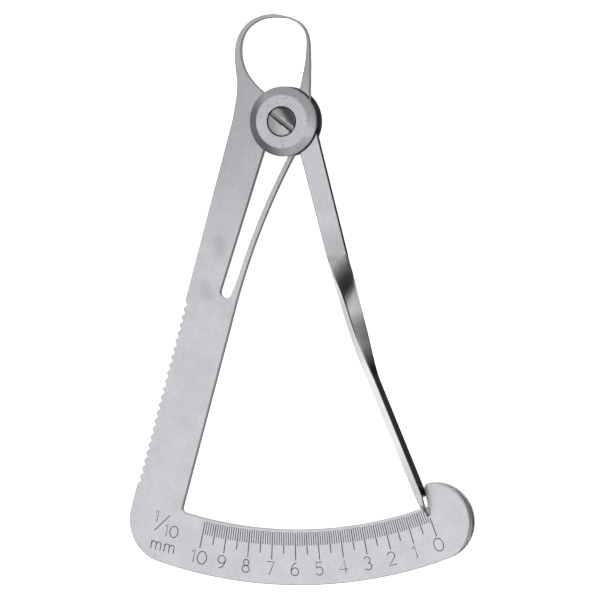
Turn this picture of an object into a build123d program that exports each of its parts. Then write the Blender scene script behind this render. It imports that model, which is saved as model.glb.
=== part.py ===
from build123d import *
import os
from math import asin, atan2, cos, degrees, hypot, radians, sin, tan

# A spring caliper for thin walls, reading 0 to 10 mm in tenths. Millimetres.
# The origin is on the pivot axis, in the back face of the back disc.
# +X goes right, +Y towards the measuring tips, +Z towards the reader.
# Angles of the legs and of the scale are counted from -Y, positive towards +X.

# Sheets and discs, counted from the back
disc_thickness = 1.5
scale_sheet = 1.4
pointer_sheet = 1.2
running_gap = 0.04

# Discs
disc_radius = 6.0
disc_flat_radius = 4.55
disc_rim = 0.4
recess_floor = 0.6

# Pivot screw
head_radius = 2.5
head_edge = 0.85
head_dome = 0.32
head_gap = 0.12
slot_width = 0.65
slot_depth = 0.75
slot_angle = -36.0
shoulder_radius = 1.7
thread_radius = 1.25
thread_length = 1.1
pivot_clearance = 0.03

# Hubs
hub_radius = 5.5
ring_radius = 3.3

# Measuring law: the tips open by the chord of the angle that the arm turns
tip_radius = 17.75
tip_angle = 2.5
tip_thickness = 0.24
tip_gap = 0.03

# Scale plate
scale_inner_radius = 70.6
scale_outer_radius = 80.2
zero_angle = 20.8
lobe_radius = 6.7
lobe_angle = 21.3
lobe_corner = 0.9
lobe_roll = 0.9
lobe_roll_width = 1.1
lobe_roll_angle = 10.0
stop_slope = 12.0

# Leg of the scale arm, in its own directions: down the leg and out to its left
leg_angle = 15.4
leg_outer = 9.38
leg_inner = 0.43
leg_corner = 7.5
inner_corner = 0.8
leg_top = 2.2

# Slot and leaf spring
slot_end = 31.4
slot_end_width = 2.15
slot_end_outer = 3.75
slot_splay = 2.6
leaf_root = 28.9
leaf_root_out = 0.8
leaf_root_width = 0.86
leaf_tip = 3.5
leaf_tip_width = 0.74
leaf_sweep = 3.7
leaf_bow = 0.68

# Thumb serrations on the leg's outer edge
notch_count = 23
notch_pitch = 1.45
notch_first = 35.5
notch_depth = 0.55
notch_crest = 0.25

# Pointer leg and blade
pointer_width = 3.5
pointer_top_width = 3.75
pointer_offset = 3.25
pointer_angle = 14.8
twist_start = 22.5
blade_angle = 23.0
blade_start = 44.5
blade_turn = 90.0
twist_middle = (13.6, -37.5)
notch_root_radius = 68.6
stop_clearance = 0.04
notch_slant = 0.3
needle_radius = 72.3
needle_depth = 0.65
needle_point = 0.16
needle_lift = 0.2

# Pin that the leaf presses on
pin_radius = 0.35
pin_station = 3.85
pin_gap = 0.03
pin_lug_radius = 0.62
pin_back_gap = 0.12

# Right jaw, bent back at a crease so that both tips meet in one plane
jaw_crease = 5.66

# Shares of the twisted stretch, and the share of the blade's turn that is reached there
twist_stations = ((0, 0), (0.08, 0.14), (0.16, 0.32), (0.24, 0.48), (0.32, 0.59), (0.4, 0.64),
                  (0.5, 0.66), (0.6, 0.71), (0.7, 0.78), (0.8, 0.86), (0.9, 0.95), (1, 1))

# Heights of the stack
scale_back = disc_thickness
scale_front = scale_back + scale_sheet
pointer_back = scale_front + running_gap
pointer_front = pointer_back + pointer_sheet
front_disc_back = pointer_front + running_gap
pointer_middle = pointer_back + pointer_sheet / 2
scale_middle = scale_back + scale_sheet / 2

far = 2 * scale_outer_radius


def polar(radius, angle):
    """A point at a radius from the pivot, at an angle from -Y."""
    return (radius * sin(radians(angle)), -radius * cos(radians(angle)))


def on_leg(down, out):
    """A point of the scale arm's leg, down from the pivot and out to the left."""
    a = radians(leg_angle)
    return (-down * sin(a) - out * cos(a), -down * cos(a) + out * sin(a))


def heading(angle):
    """The unit vector that points down at an angle from -Y."""
    return Vector(sin(radians(angle)), -cos(radians(angle)), 0)


def across(angle):
    """The unit vector to the right of heading(angle)."""
    return Vector(cos(radians(angle)), sin(radians(angle)), 0)


def polygon(*points):
    return make_face(Polyline(*points, close=True))


def nearest(shape, point):
    return shape.vertices().sort_by_distance((point[0], point[1], 0))[0]


# Measuring tips

def tip_corners(side):
    """The outer and the inner corner of a tip's end, on one side of the contact."""
    out = -heading(-tip_angle)
    along = across(-tip_angle)
    middle = out * tip_radius + along * side * tip_gap / 2
    return middle + out * tip_thickness / 2, middle - out * tip_thickness / 2


def left_jaw():
    outer_tip, inner_tip = tip_corners(-1)
    outer = Spline(on_leg(leg_top, leg_outer), (-8.8, 6.2), (-9.2, 10.4), (-8.5, 15.0),
                   (-6.0, 17.62), (-2.45, 18.5), outer_tip,
                   tangents=(-heading(-9), heading(75)))
    inner = Spline(inner_tip, (-2.0, 17.88), (-4.9, 17.4), (-7.4, 15.4), (-8.2, 12.2),
                   (-7.4, 8.75), (-4.2, 5.05), (-2.9, 4.1))
    return make_face([outer, Line(outer_tip, inner_tip), inner,
                      Polyline((-2.9, 4.1), (0, 0), on_leg(leg_top, leg_outer))])


def right_jaw():
    outer_tip, inner_tip = tip_corners(1)
    outer = Spline((4.6, 2.6), (4.55, 6.5), (4.38, 12.4), (3.85, 15.3), (2.5, 17.15), outer_tip)
    inner = Spline(inner_tip, (2.4, 16.7), (3.45, 15.3), (3.8, 13.0), (3.45, 8.8), (2.7, 4.3))
    return make_face([outer, Line(outer_tip, inner_tip), inner,
                      Polyline((2.7, 4.3), (0, 0), (4.6, 2.6))])


# Scale arm

def slot_edge(down):
    """How far out the slot's left edge is, at a distance down the leg."""
    return slot_end_outer - (slot_end - down) * tan(radians(slot_splay))


def leaf_middle(down):
    """How far out the leaf's middle line is: a shallow arc from root to tip."""
    share = (leaf_root - down) / (leaf_root - leaf_tip)
    return leaf_root_out - leaf_sweep * share + 4 * leaf_bow * share * (1 - share)


def leaf_width(down):
    share = (leaf_root - down) / (leaf_root - leaf_tip)
    return leaf_root_width + (leaf_tip_width - leaf_root_width) * share


def spring_window():
    """The space right of the slot's left edge, down to the slot's end and the leaf's root."""
    slot_inner = slot_end_outer - slot_end_width
    leaf_left = leaf_middle(leaf_root) + leaf_width(leaf_root) / 2
    free = polygon(on_leg(slot_end, slot_end_outer), on_leg(1.0, slot_edge(1.0)), (0, 0),
                   polar(2 * hub_radius, window_angle), on_leg(leaf_root, -far / 8),
                   on_leg(leaf_root, leaf_left), on_leg(slot_end, slot_inner))
    end = Pos(*on_leg(slot_end, slot_end_outer - slot_end_width / 2)) * Circle(slot_end_width / 2)
    return free + end


def leg_blank():
    """The leg from the pivot to beyond the scale plate's outer edge."""
    bottom = far / 1.8
    return polygon(on_leg(leg_top, leg_outer), on_leg(bottom, leg_outer),
                   on_leg(bottom, leg_inner), on_leg(slot_end, leg_inner),
                   on_leg(leaf_root, leaf_middle(leaf_root) - leaf_width(leaf_root) / 2),
                   (0, 0))


def stop_line():
    """The lobe's left edge: the point that the blade meets, and its direction upwards."""
    blade_side = across(blade_angle) * (pointer_sheet / 2 + stop_clearance)
    return blade_end() + blade_side, -heading(stop_slope)


def lobe_centre():
    return polar(scale_outer_radius - lobe_radius, lobe_angle)


def scale_plate():
    """The arc of the scale with its round lobe past zero."""
    sector = polygon((0, 0), polar(far, -leg_angle - 2), polar(far, lobe_angle))
    arc = (Circle(scale_outer_radius) - Circle(scale_inner_radius)) & sector
    lobe = Pos(*lobe_centre()) * Circle(lobe_radius)
    contact, up = stop_line()
    left = across(stop_slope) * -far
    half = polygon(*[(p.X, p.Y) for p in (contact + up * far, contact + up * far + left,
                                          contact - up * far + left, contact - up * far)])
    lobe = lobe - (half & Circle(scale_inner_radius))
    plate = arc + lobe
    top = lobe_top_corner()
    return fillet(nearest(plate, top), lobe_corner)


def lobe_top_corner():
    """Where the lobe's circle meets the stop line above the contact."""
    contact, up = stop_line()
    c = Vector(*lobe_centre(), 0)
    along = (c - contact).dot(up)
    beside = (c - contact - up * along).length
    point = contact + up * (along + (lobe_radius ** 2 - beside ** 2) ** 0.5)
    return (point.X, point.Y)


def serrations():
    """A row of shallow V notches that meet in rounded crests."""
    half = notch_pitch / 2
    rim = leg_outer + notch_depth
    start = notch_first - half
    corners = [on_leg(start, rim), on_leg(start, leg_outer)]
    crests = []
    for i in range(notch_count):
        middle = notch_first + i * notch_pitch
        corners.append(on_leg(middle, leg_outer - notch_depth))
        corners.append(on_leg(middle + half, leg_outer))
        crests.append(corners[-1])
    corners.append(on_leg(start + notch_count * notch_pitch, rim))
    cut = polygon(*corners)
    return fillet([nearest(cut, c) for c in crests[:-1]], notch_crest)


def scale_arm_outline():
    body = leg_blank() & Circle(scale_outer_radius)
    body = body + scale_plate() + Circle(hub_radius)
    body = body - spring_window() + Circle(ring_radius) + left_jaw()
    corner = on_leg((scale_outer_radius ** 2 - leg_outer ** 2) ** 0.5, leg_outer)
    body = fillet(nearest(body, corner), leg_corner)
    corner = on_leg((scale_inner_radius ** 2 - leg_inner ** 2) ** 0.5, leg_inner)
    body = fillet(nearest(body, corner), inner_corner)
    return body - serrations() - Circle(shoulder_radius + pivot_clearance)


def lobe_roll_tool():
    """What the rolled right edge of the lobe leaves away: a crescent that fades out."""
    x, y = lobe_centre()
    flat = lobe_radius
    reach = flat + lobe_roll_width
    wide = 2 * reach
    rounded = EllipticalCenterArc((flat, 0), lobe_roll_width, lobe_roll, start_angle=0,
                                  arc_size=90)
    profile = make_face([rounded, Polyline((flat, lobe_roll), (flat, wide), (wide, wide),
                                           (wide, 0), (reach, 0))])
    half_ring = revolve(Plane.XZ.rotated((0, 0, -90)) * profile, Axis.Z, 180)
    place = Pos(x, y, scale_front - lobe_roll) * Rot(0, 0, lobe_roll_angle)
    return place * Pos(-lobe_roll_width, 0, 0) * half_ring


def scale_arm():
    return extrude(Pos(0, 0, scale_back) * scale_arm_outline(), scale_sheet) - lobe_roll_tool()


def spring_leaf():
    """The leaf from its root at the slot's end to its tip behind the front disc."""
    def edge(side):
        stations = (leaf_root, (leaf_root + leaf_tip) / 2, leaf_tip)
        return [on_leg(d, leaf_middle(d) + side * leaf_width(d) / 2) for d in stations]
    left, right = edge(1), edge(-1)
    face = make_face([ThreePointArc(*left), Line(left[2], right[2]),
                      ThreePointArc(*reversed(right)), Line(right[0], left[0])])
    return extrude(Pos(0, 0, scale_back) * face, scale_sheet)


# Pointer arm

def blade_end():
    """The middle of the blade at the root of its notch, on the zero line."""
    return Vector(*polar(notch_root_radius, zero_angle), 0)


def blade_point(height):
    """The middle of the straight blade at a height below the pivot."""
    end = blade_end()
    return end - heading(blade_angle) * ((-height - end.Y) / -cos(radians(blade_angle)) * -1)


def pin_place():
    """The pin's axis, just right of the leaf near its tip."""
    out = leaf_middle(pin_station) - leaf_width(pin_station) / 2 - pin_gap - pin_radius
    return on_leg(pin_station, out)


window_angle = 44.0


def flat_leg():
    """The flat stretch of the pointer leg, from the hub down to where the twist starts."""
    start = twist_top()
    side = across(pointer_angle)
    hub_end = side * pointer_offset
    corners = [start + side * pointer_width / 2, hub_end + side * pointer_top_width / 2,
               hub_end - side * pointer_top_width / 2, start - side * pointer_width / 2]
    return polygon(*[(p.X, p.Y) for p in corners])


def twist_top():
    """The middle of the leg where the twist starts."""
    foot = across(pointer_angle) * pointer_offset
    run = (twist_start + foot.Y) / cos(radians(pointer_angle))
    return foot + heading(pointer_angle) * run


def width_direction(right, turn):
    """The direction across the strip, once its left edge has come forward by an angle."""
    return right * cos(radians(turn)) - Vector(0, 0, 1) * sin(radians(turn))


def pointer_twist():
    """The stretch in which the strip turns on edge, its left edge coming forward."""
    start, end = twist_top(), blade_point(blade_start)
    path = Spline((start.X, start.Y), twist_middle, (end.X, end.Y),
                  tangents=(heading(pointer_angle), heading(blade_angle)))
    sections = []
    for share, turned in twist_stations:
        tangent = path % share
        wide = width_direction(Vector(-tangent.Y, tangent.X, 0), blade_turn * turned)
        here = path @ share + Vector(0, 0, pointer_middle)
        plane = Plane(origin=here, x_dir=wide, z_dir=tangent)
        sections.append(plane * Rectangle(pointer_width, pointer_sheet))
    return loft(sections)


def pointer_blade():
    """The strip on edge, notched at the back so that its needle passes over the scale."""
    start, end = blade_point(blade_start), blade_end()
    length = (end - start).length
    front = pointer_width / 2
    reach = length + needle_radius - notch_root_radius
    tip = scale_front + needle_lift - pointer_middle
    side = make_face([Line((0, -front), (0, front)), Line((0, front), (length, front)),
                      Spline((length, front), (reach, tip + needle_point),
                             tangents=((1, 0), (1, -1.2))),
                      Line((reach, tip + needle_point), (reach, tip)),
                      Spline((reach, tip), (length, front - needle_depth),
                             tangents=((-1, 1.2), (-1, 0))),
                      Polyline((length, front - needle_depth), (length + notch_slant, -front),
                               (0, -front))])
    forward = -width_direction(across(blade_angle), blade_turn)
    plane = Plane(origin=start + Vector(0, 0, pointer_middle), x_dir=heading(blade_angle),
                  z_dir=heading(blade_angle).cross(forward))
    blade = extrude(plane * side, pointer_sheet / 2, both=True)
    return blade & extrude(blade_plan(), 2 * pointer_front)


def blade_plan():
    """The blade from the front: parallel sides, then tapered to a point on the zero line."""
    side = across(blade_angle) * pointer_sheet / 2
    start, end = blade_point(blade_start), blade_end()
    point = Vector(*polar(needle_radius, zero_angle), 0)
    fine = across(zero_angle) * needle_point / 2
    shoulder = end + heading(blade_angle) * 1.6 - side
    corners = [start - side * 3, start + side * 3, end + side * 3, end + side, point + fine,
               point - fine, shoulder, shoulder - side]
    return polygon(*[(p.X, p.Y) for p in corners])


def pointer_arm():
    flat = right_jaw() + Circle(hub_radius) + flat_leg()
    flat = flat + Pos(*pin_place()) * Circle(pin_lug_radius)
    below = polygon((-far, jaw_crease), (far, jaw_crease), (far, -far), (-far, -far))
    above = polygon((-far, jaw_crease), (far, jaw_crease), (far, far), (-far, far))
    plate = extrude(Pos(0, 0, pointer_back) * (flat & below), pointer_sheet)
    drop = pointer_middle - scale_middle
    tilt = degrees(asin(drop / (tip_radius - jaw_crease)))
    raised = Pos(0, jaw_crease, pointer_front) * Rot(-tilt, 0, 0) * Pos(0, -jaw_crease, 0)
    jaw = extrude(raised * (flat & above), -pointer_sheet)
    arm = plate + jaw + pointer_twist() + pointer_blade()
    arm = arm - Cylinder(shoulder_radius + pivot_clearance, 4 * disc_thickness + far / 10)
    return arm - Pos(*pin_place()) * Cylinder(pin_radius, far / 10)


def spring_pin():
    low = scale_back + pin_back_gap
    place = Pos(*pin_place(), low)
    return place * extrude(Circle(pin_radius), pointer_front - low)


# Pivot

def front_disc():
    """A bevelled washer with a recess for the screw's head."""
    back = front_disc_back
    top = back + disc_thickness
    floor = back + recess_floor
    bore = shoulder_radius + pivot_clearance
    recess = head_radius + head_gap
    profile = make_face(Polyline((bore, back), (disc_radius, back), (disc_radius, back + disc_rim),
                                 (disc_flat_radius, top), (recess, top), (recess, floor),
                                 (bore, floor), close=True))
    return revolve(Plane.XZ * profile, Axis.Z, 360)


def back_disc():
    """The same outline turned over, closed at the back and threaded for the screw."""
    hole = thread_radius
    floor = disc_thickness - thread_length
    profile = make_face(Polyline((0, 0), (disc_flat_radius, 0),
                                 (disc_radius, disc_thickness - disc_rim),
                                 (disc_radius, disc_thickness), (hole, disc_thickness),
                                 (hole, floor), (0, floor), close=True))
    return revolve(Plane.XZ * profile, Axis.Z, 360)


def pivot_screw():
    """Slotted head, smooth shoulder through both hubs, thread in the back disc."""
    seat = front_disc_back + recess_floor
    rim = seat + head_edge
    low = disc_thickness - thread_length + pivot_clearance
    core = Polyline((0, low), (thread_radius, low), (thread_radius, disc_thickness),
                    (shoulder_radius, disc_thickness), (shoulder_radius, seat),
                    (head_radius, seat), (head_radius, rim))
    dome_radius = (head_radius ** 2 + head_dome ** 2) / (2 * head_dome)
    middle = (head_radius / 2,
              rim + head_dome - dome_radius + (dome_radius ** 2 - head_radius ** 2 / 4) ** 0.5)
    dome = ThreePointArc((head_radius, rim), middle, (0, rim + head_dome))
    profile = make_face([core, dome, Line((0, rim + head_dome), (0, low))])
    screw = revolve(Plane.XZ * profile, Axis.Z, 360)
    top = rim + head_dome
    slot = Box(4 * head_radius, slot_width, 2 * slot_depth)
    return screw - Pos(0, 0, top) * Rot(0, 0, slot_angle) * slot


pieces = {
    "back_disc": back_disc,
    "scale_arm": scale_arm,
    "spring_leaf": spring_leaf,
    "pointer_arm": pointer_arm,
    "spring_pin": spring_pin,
    "front_disc": front_disc,
    "pivot_screw": pivot_screw,
}

os.makedirs("parts", exist_ok=True)
for name, make in pieces.items():
    export_step(make(), f"parts/{name}.step")
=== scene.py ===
import math

import bpy
from bpy.props import FloatProperty, FloatVectorProperty, PointerProperty
from bpy.types import Operator, Panel, PropertyGroup
from mathutils import Matrix, Vector
from mathutils.kdtree import KDTree


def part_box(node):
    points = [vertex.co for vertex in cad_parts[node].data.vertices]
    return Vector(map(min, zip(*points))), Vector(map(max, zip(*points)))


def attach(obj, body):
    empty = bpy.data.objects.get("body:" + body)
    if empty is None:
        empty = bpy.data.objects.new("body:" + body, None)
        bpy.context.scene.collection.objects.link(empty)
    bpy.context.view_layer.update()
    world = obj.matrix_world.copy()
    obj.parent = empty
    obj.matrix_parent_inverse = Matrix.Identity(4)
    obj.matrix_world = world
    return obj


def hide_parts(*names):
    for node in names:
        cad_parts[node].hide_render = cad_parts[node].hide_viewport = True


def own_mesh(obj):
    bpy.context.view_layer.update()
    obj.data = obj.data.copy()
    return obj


bl_info = {
    "name": "Dental measuring caliper",
    "version": (1, 0, 0),
    "blender": (4, 5, 0),
    "location": "View3D > Sidebar > Caliper",
    "description": "A spring caliper for thin walls, with its graduated scale",
    "category": "Object",
}

# The frame, and the values that follow from it
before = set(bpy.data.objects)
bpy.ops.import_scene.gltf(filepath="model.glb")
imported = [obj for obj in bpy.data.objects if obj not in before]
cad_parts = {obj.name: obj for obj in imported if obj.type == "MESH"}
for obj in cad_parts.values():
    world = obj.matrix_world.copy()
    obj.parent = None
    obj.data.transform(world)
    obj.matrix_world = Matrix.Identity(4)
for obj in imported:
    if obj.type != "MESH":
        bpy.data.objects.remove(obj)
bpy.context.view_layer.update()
MM = 0.001
SCALE_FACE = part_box("scale_arm")[1].z
PIVOT_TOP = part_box("pivot_screw")[1].z

# Places on the solids, counted from the pivot
JAWS_START = 3 * MM
LOBE_START = 27 * MM
SLOT_BOTTOM, SLOT_MIDDLE = PIVOT_TOP - 0.9 * MM, PIVOT_TOP - 0.45 * MM
INSIDE_SCREW = 2.45 * MM

# The leaf is narrow, so its edges are rounded less
LEAF_EDGE_SHARE = 0.8
# Corners closer than the first are one corner, and closer than the second they touch
WELD, TOUCH = 0.002 * MM, 0.02 * MM
# An edge at which the surface turns by more is shaded as a crease
CREASE = math.radians(32)


# Helpers for modelling

def deselect_all():
    """Nothing is selected and no object is in edit mode."""
    if bpy.context.object and bpy.context.object.mode != "OBJECT":
        bpy.ops.object.mode_set(mode="OBJECT")
    bpy.ops.object.select_all(action="DESELECT")


def pick(obj):
    """Only this object is selected, and it is the active one."""
    deselect_all()
    obj.select_set(True)
    bpy.context.view_layer.objects.active = obj


def welded_copy(node, name, dropped=None):
    """A copy of a CAD node with its corners joined and its flat faces whole."""
    piece = bpy.data.objects.new(name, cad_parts[node].data.copy())
    piece.data.name = name
    bpy.context.scene.collection.objects.link(piece)
    pick(piece)
    bpy.ops.object.mode_set(mode="EDIT")
    bpy.ops.mesh.select_mode(type="FACE")
    bpy.ops.mesh.select_all(action="SELECT")
    bpy.ops.mesh.remove_doubles(threshold=WELD)
    if dropped:
        bpy.ops.mesh.select_all(action="DESELECT")
        bpy.ops.object.mode_set(mode="OBJECT")
        for face in piece.data.polygons:
            face.select = dropped(face.center)
        bpy.ops.object.mode_set(mode="EDIT")
        bpy.ops.mesh.delete(type="FACE")
    bpy.ops.mesh.select_mode(type="EDGE")
    bpy.ops.mesh.select_all(action="SELECT")
    bpy.ops.mesh.dissolve_limited(angle_limit=math.radians(0.4))
    bpy.ops.object.mode_set(mode="OBJECT")
    return piece


def edge_normals(mesh, faces=2):
    """The normals of the faces at each edge that has so many, by the edge's number."""
    found = {}
    for face in mesh.polygons:
        for key in face.edge_keys:
            found.setdefault(key, []).append(face.normal)
    return {e.index: found[e.key] for e in mesh.edges if len(found.get(e.key, ())) == faces}


def rim_edges(mesh):
    """Edges between a face that lies flat and a wall that stands up."""
    rims = []
    for number, (a, b) in edge_normals(mesh).items():
        flat, wall = max(abs(a.z), abs(b.z)), min(abs(a.z), abs(b.z))
        if flat > 0.9 and wall < 0.6:
            rims.append(number)
    return rims


def sharp_edges(mesh, angle):
    """Edges at which the surface turns by more than an angle in degrees."""
    limit = math.radians(angle)
    return [n for n, (a, b) in edge_normals(mesh).items() if a.angle(b, 0) > limit]


def touching(mesh, node):
    """Numbers of the corners that lie on another CAD node."""
    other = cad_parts[node].data.vertices
    tree = KDTree(len(other))
    for v in other:
        tree.insert(v.co, v.index)
    tree.balance()
    return {v.index for v in mesh.vertices if tree.find(v.co)[2] < TOUCH}


def free_rims(mesh, neighbour):
    """Rim edges, apart from those that lie on another CAD node."""
    shared = touching(mesh, neighbour)
    return [n for n in rim_edges(mesh) if not set(mesh.edges[n].vertices) <= shared]


def select_edges(piece, numbers):
    """Goes to edit mode with just the edges of these numbers selected."""
    pick(piece)
    mesh = piece.data
    chosen = set(numbers)
    mesh.polygons.foreach_set("select", [False] * len(mesh.polygons))
    mesh.vertices.foreach_set("select", [False] * len(mesh.vertices))
    mesh.edges.foreach_set("select", [e.index in chosen for e in mesh.edges])
    bpy.ops.object.mode_set(mode="EDIT")
    bpy.ops.mesh.select_mode(type="EDGE")


def round_edges(piece, numbers, width, segments=2):
    """Rounds off the edges that have these numbers."""
    select_edges(piece, numbers)
    bpy.ops.mesh.bevel(offset=width, segments=segments, affect="EDGES",
                       clamp_overlap=False, harden_normals=False)
    bpy.ops.object.mode_set(mode="OBJECT")


def smooth(piece):
    """Smooth shading, with creases where the surface turns sharply."""
    pick(piece)
    bpy.ops.object.shade_smooth_by_angle(angle=CREASE)
    weighted = piece.modifiers.new("weighted normals", "WEIGHTED_NORMAL")
    weighted.keep_sharp = True
    weighted.weight = 60
    bpy.ops.object.modifier_apply(modifier=weighted.name)


def finish_piece(piece, body, slot, material, *nodes):
    """Gives a piece its material and body, and hides the CAD nodes that it stands for. The
    slot is not used.
    """
    piece.data.materials.clear()
    piece.data.materials.append(material)
    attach(piece, body)
    if nodes:
        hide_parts(*nodes)


def is_wall(face):
    """Whether a face stands nearly upright."""
    return abs(face.normal.z) < 0.3


def paint_faces(piece, material, chosen):
    """Gives the chosen faces a material of their own."""
    piece.data.materials.append(material)
    number = len(piece.data.materials) - 1
    for face in piece.data.polygons:
        if chosen(face):
            face.material_index = number


# Materials

def new_material(name):
    """The material of this name, new or emptied of its nodes."""
    material = bpy.data.materials.get(name) or bpy.data.materials.new(name)
    material.use_nodes = True
    material.node_tree.nodes.clear()
    return material


def add(tree, kind, **values):
    """A node of a kind, with some of its sockets or settings set."""
    node = tree.nodes.new(kind)
    for key, value in values.items():
        if key in node.inputs:
            node.inputs[key].default_value = value
        else:
            setattr(node, key, value)
    return node


def ramp(tree, stops):
    """A colour ramp of grey stops, given as place and value."""
    node = tree.nodes.new("ShaderNodeValToRGB")
    elements = node.color_ramp.elements
    while len(elements) > 1:
        elements.remove(elements[-1])
    for i, (place, value) in enumerate(stops):
        element = elements[0] if i == 0 else elements.new(place)
        element.position = place
        element.color = (value, value, value, 1)
    return node


def between(tree, source, low, high, to_low, to_high, smooth_step=False):
    """Maps a value from one range to another and stays inside the new one."""
    node = add(tree, "ShaderNodeMapRange")
    if smooth_step:
        node.interpolation_type = "SMOOTHSTEP"
    for name, value in (("From Min", low), ("From Max", high),
                        ("To Min", to_low), ("To Max", to_high)):
        node.inputs[name].default_value = value
    tree.links.new(source, node.inputs["Value"])
    return node.outputs[0]


def math_node(tree, operation, first, second=None):
    """The result of an operation on one or two values, given as numbers or sockets."""
    node = add(tree, "ShaderNodeMath", operation=operation)
    for socket, value in zip(node.inputs, (first, second)):
        if isinstance(value, (int, float)):
            socket.default_value = value
        elif value is not None:
            tree.links.new(value, socket)
    return node.outputs[0]


def noise(tree, vector, scale, detail=3.0, roughness=0.6):
    """A cloud pattern of a scale, counted per metre."""
    node = add(tree, "ShaderNodeTexNoise", Scale=scale, Detail=detail, Roughness=roughness)
    tree.links.new(vector, node.inputs["Vector"])
    return node.outputs["Fac"]


def product(tree, first, *others):
    """The product of two or more values."""
    for other in others:
        first = math_node(tree, "MULTIPLY", first, other)
    return first


def spread_noise(tree, pattern, low, high):
    """A cloud pattern, most of which lies between 0.3 and 0.7, spread over a range."""
    return between(tree, pattern, 0.3, 0.7, low, high)


def even_noise(tree, pattern, spread):
    """A cloud pattern as a factor about 1."""
    return spread_noise(tree, pattern, 1 - spread, 1 + spread)


def lean_shade(tree, normal, spot, flatness, tones, towards, reach, off, rounded_only):
    """Painted shade and light by how far the surface leans towards a direction."""
    lean = add(tree, "ShaderNodeVectorMath", operation="DOT_PRODUCT")
    lean.inputs[1].default_value = towards
    tree.links.new(normal, lean.inputs[0])
    tone = ramp(tree, tones)
    tree.links.new(between(tree, lean.outputs["Value"], -reach, reach, 0.0, 1.0),
                   tone.inputs[0])
    lost = math_node(tree, "SUBTRACT", 1.0, tone.outputs[0])
    if rounded_only:
        # Upright walls keep their own colour
        lost = product(tree, lost, between(tree, flatness, 0.12, 0.35, 0.0, 1.0, True))
    if off:
        # A fade of 12 mm at the upper end and of 4 mm at the lower
        low, high = off
        above = between(tree, spot.outputs["Y"], high - 12 * MM, high, 0.0, 1.0, True)
        below = between(tree, spot.outputs["Y"], low, low + 4 * MM, 1.0, 0.0, True)
        lost = product(tree, lost, math_node(tree, "MAXIMUM", above, below))
    return math_node(tree, "SUBTRACT", 1.0, lost)


def cloud_shade(tree, spot, cloud):
    """A soft round spot: its place, its inner and outer radius and its shade inside."""
    x, y, inner, outer, value = cloud
    flat = add(tree, "ShaderNodeCombineXYZ")
    tree.links.new(spot.outputs["X"], flat.inputs["X"])
    tree.links.new(spot.outputs["Y"], flat.inputs["Y"])
    away = add(tree, "ShaderNodeVectorMath", operation="DISTANCE")
    away.inputs[1].default_value = (x * MM, y * MM, 0)
    tree.links.new(flat.outputs[0], away.inputs[0])
    return between(tree, away.outputs["Value"], inner * MM, outer * MM, value, 1.0, True)


# Spread of the broad clouds in the steel's tone
BLOTCH = 0.06
# Share of the flat finish, by how flat the surface lies: 0 is a wall and 1 is flat; the walls'
# darker colour is painted shade
SATIN_FACING = ((0.0, 0.0), (0.5, 0.04), (0.85, 0.25), (0.95, 0.65), (0.99, 1.0))


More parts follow.
